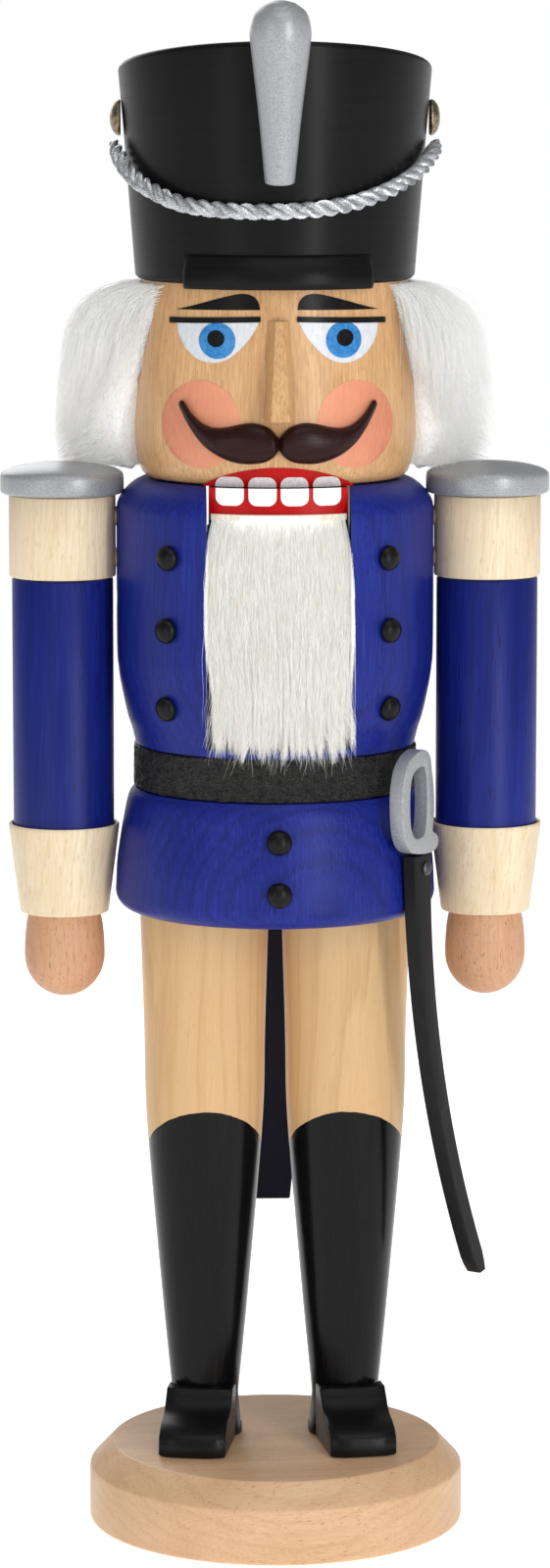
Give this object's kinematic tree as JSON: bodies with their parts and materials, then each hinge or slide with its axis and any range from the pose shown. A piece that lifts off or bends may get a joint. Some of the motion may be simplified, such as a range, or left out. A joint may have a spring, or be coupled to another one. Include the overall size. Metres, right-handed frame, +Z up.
{
  "type": "nutcracker figure",
  "caption": "Turned-wood soldier nutcracker on a round base; lifting the tail lever at its back drops the jaw, with fur hair and beard, tall hat, sabre and belt.",
  "frame": {"origin": "middle of the underside of the round base", "axes": "+Z up, the figure faces -Y, its left arm and sabre are at +X"},
  "size_m": [0.1398, 0.1091, 0.39],
  "materials": {
    "jacket_blue": "semi-gloss blue stain on open-grained ash",
    "tail_blue": "dark blue lacquer, jaw painted red with white teeth",
    "base_beech": "clear satin varnish on beech",
    "skin_wood": "satin varnish, painted face",
    "leg_wood": "satin varnish, lower half dipped in gloss black",
    "maple": "clear satin varnish",
    "hand_wood": "clear satin varnish on pink beech",
    "black_lacquer": "satin black lacquer",
    "silver_paint": "silver paint",
    "white_fur": "white rabbit fur",
    "moustache_brown": "satin dark brown paint",
    "black_leather": "grained black leather",
    "steel": "bright steel",
    "dark_bronze": "antique bronze",
    "silver_cord": "twisted metallic thread",
    "dowel_beech": "plain beech"
  },
  "bodies": {
    "figure": {"arm_peg_lower_left": "dowel_beech", "arm_peg_lower_right": "dowel_beech", "arm_peg_upper_left": "dowel_beech", "arm_peg_upper_right": "dowel_beech", "base_plate": "base_beech", "belt": "black_leather", "button_1": "black_lacquer", "button_2": "black_lacquer", "button_3": "black_lacquer", "button_4": "black_lacquer", "button_5": "black_lacquer", "button_6": "black_lacquer", "button_7": "black_lacquer", "button_8": "black_lacquer", "cord_nail_left": "dark_bronze", "cord_nail_right": "dark_bronze", "cuff_left": "maple", "cuff_right": "maple", "foot_left": "black_lacquer", "foot_right": "black_lacquer", "hair": "white_fur", "hand_left": "hand_wood", "hand_right": "hand_wood", "hat": "black_lacquer", "hat_cord": "silver_cord", "hat_dowel": "dowel_beech", "hat_visor": "black_lacquer", "head": "skin_wood", "leg_left": "leg_wood", "leg_right": "leg_wood", "leg_screw_left": "steel", "leg_screw_right": "steel", "moustache": "moustache_brown", "neck_dowel_left": "dowel_beech", "neck_dowel_right": "dowel_beech", "nose": "skin_wood", "pivot_pin": "steel", "plume": "silver_paint", "plume_pin": "steel", "sabre_guard": "silver_paint", "sabre_nail": "black_lacquer", "sabre_scabbard": "black_lacquer", "shoulder_band_left": "maple", "shoulder_band_right": "maple", "shoulder_cap_left": "silver_paint", "shoulder_cap_right": "silver_paint", "sleeve_left": "jacket_blue", "sleeve_right": "jacket_blue", "torso": "jacket_blue"},
    "jaw": {"jaw_lever": "tail_blue", "beard": "white_fur"}
  },
  "joints": [
    {"name": "jaw_hinge", "type": "hinge", "parent": "figure", "child": "jaw", "pos_m": [0, 0.006, 0.24], "axis": [1, 0, 0], "range_deg": [0, 25], "deforming": ["beard"]}
  ]
}
